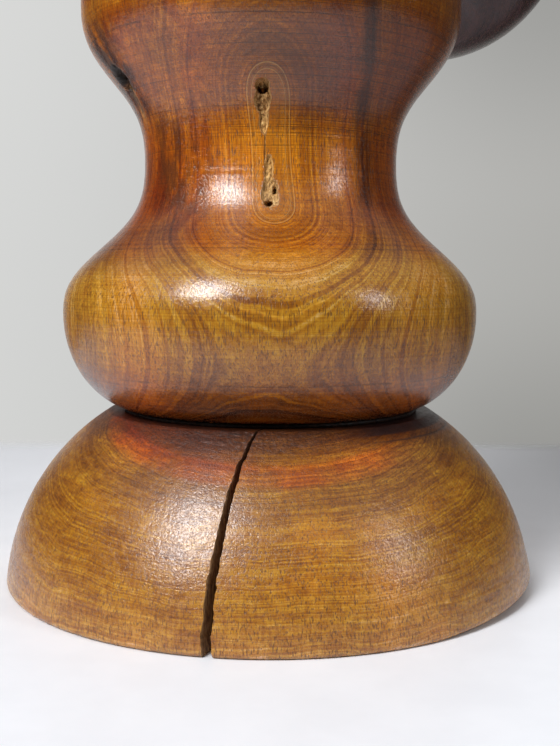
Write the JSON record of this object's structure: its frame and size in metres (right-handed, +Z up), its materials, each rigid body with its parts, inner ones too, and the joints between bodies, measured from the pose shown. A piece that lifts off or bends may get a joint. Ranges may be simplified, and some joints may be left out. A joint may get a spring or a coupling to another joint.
{
  "type": "fertility doll",
  "caption": "Lathe-turned wooden fertility doll: domed foot, bulbous hips and torso in one turning, ball breasts, ringed neck and a disc head.",
  "frame": {"origin": "centre of the flat underside of the foot, on the lathe axis", "axes": "+Z up along the lathe axis, -Y to the doll's front, +X to the doll's left"},
  "size_m": [0.1548, 0.1608, 0.3988],
  "materials": {
    "golden_wood": "lacquered, glossy",
    "red_wood": "lacquered, glossy",
    "dark_wood": "lacquered, glossy",
    "raw_wood": "bare",
    "black_resin": "hardened black resin"
  },
  "bodies": {
    "root": {"foot": "golden_wood", "foot_dowel": "raw_wood", "joint_resin": "black_resin", "body": "golden_wood", "breast_right": "dark_wood", "breast_dowel_right": "raw_wood", "breast_left": "dark_wood", "breast_dowel_left": "raw_wood", "neck": "red_wood", "head": "golden_wood"}
  },
  "joints": []
}
